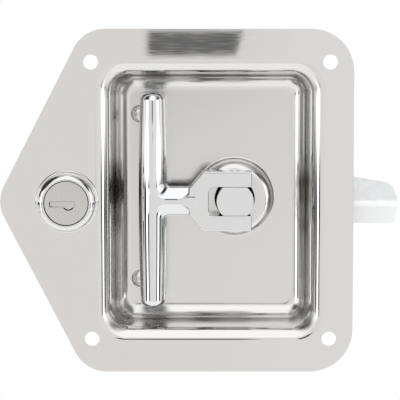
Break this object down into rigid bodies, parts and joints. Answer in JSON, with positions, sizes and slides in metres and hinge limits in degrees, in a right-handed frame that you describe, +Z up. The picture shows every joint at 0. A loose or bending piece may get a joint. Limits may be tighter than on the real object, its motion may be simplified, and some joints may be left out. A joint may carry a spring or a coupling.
{
  "type": "folding t-handle lock",
  "caption": "Flush folding T-handle lock: drawn stainless dish with a pointed flange, chrome handle that lifts and turns a rear tongue, and a key lock beside the dish.",
  "frame": {"origin": "centre of the four mounting holes, on the back face of the flange", "axes": "+X towards the tongue, +Y into the door, +Z up; the user's side faces -Y"},
  "size_m": [0.1416, 0.0429, 0.1206],
  "materials": {
    "stainless": "satin drawn stainless sheet",
    "chrome": "polished chrome plate on die casting",
    "zinc_steel": "blue-white zinc plate on steel",
    "rivet_steel": "plain bright steel",
    "spring_steel": "plain spring steel",
    "bronze": "oiled sintered bronze",
    "brass": "machined brass",
    "rubber": "moulded nitrile",
    "nylon": "natural nylon"
  },
  "bodies": {
    "body": {"mounting_pan": "stainless", "spindle_bush": "bronze", "guide_strap": "zinc_steel", "strap_rivets": "rivet_steel", "lock_housing": "chrome", "retaining_clip": "spring_steel"},
    "spindle_set": {"spindle": "chrome", "spindle_seal": "rubber", "thrust_washer": "nylon", "lock_collar": "zinc_steel", "latch_tongue": "zinc_steel", "spring_washer": "spring_steel", "spindle_nut": "zinc_steel"},
    "handle": {"t_handle": "chrome", "pivot_pin": "rivet_steel"},
    "plug": {"key_plug": "brass", "wafers": "brass", "lock_cam": "zinc_steel", "cam_screw": "zinc_steel", "plug_cap": "stainless", "shutter_pin": "rivet_steel"},
    "shutter": {"dust_shutter": "rivet_steel"},
    "slider": {"lock_bar": "zinc_steel"}
  },
  "joints": [
    {"name": "spindle_turn", "type": "hinge", "parent": "body", "child": "spindle_set", "pos_m": [0.0086, 0, 0], "axis": [0, 1, 0], "range_deg": [0, 90]},
    {"name": "handle_lift", "type": "hinge", "parent": "spindle_set", "child": "handle", "pos_m": [0.0086, 0.0024, 0], "axis": [0, 0, 1], "range_deg": [0, 90]},
    {"name": "key_turn", "type": "hinge", "parent": "body", "child": "plug", "pos_m": [-0.05025, 0, 0], "axis": [0, 1, 0], "range_deg": [0, 90]},
    {"name": "shutter_swing", "type": "hinge", "parent": "plug", "child": "shutter", "pos_m": [-0.05025, -0.0055, 0.00165], "axis": [1, 0, 0], "range_deg": [0, 70]},
    {"name": "lock_bar_slide", "type": "slide", "parent": "body", "child": "slider", "axis": [1, 0, 0], "range_m": [0, 0.00707]}
  ],
  "couplings": [
    {"joint": "handle_lift", "follows": "spindle_turn", "ratio": 1},
    {"joint": "lock_bar_slide", "follows": "key_turn", "m_per_rad": 0.0045}
  ]
}
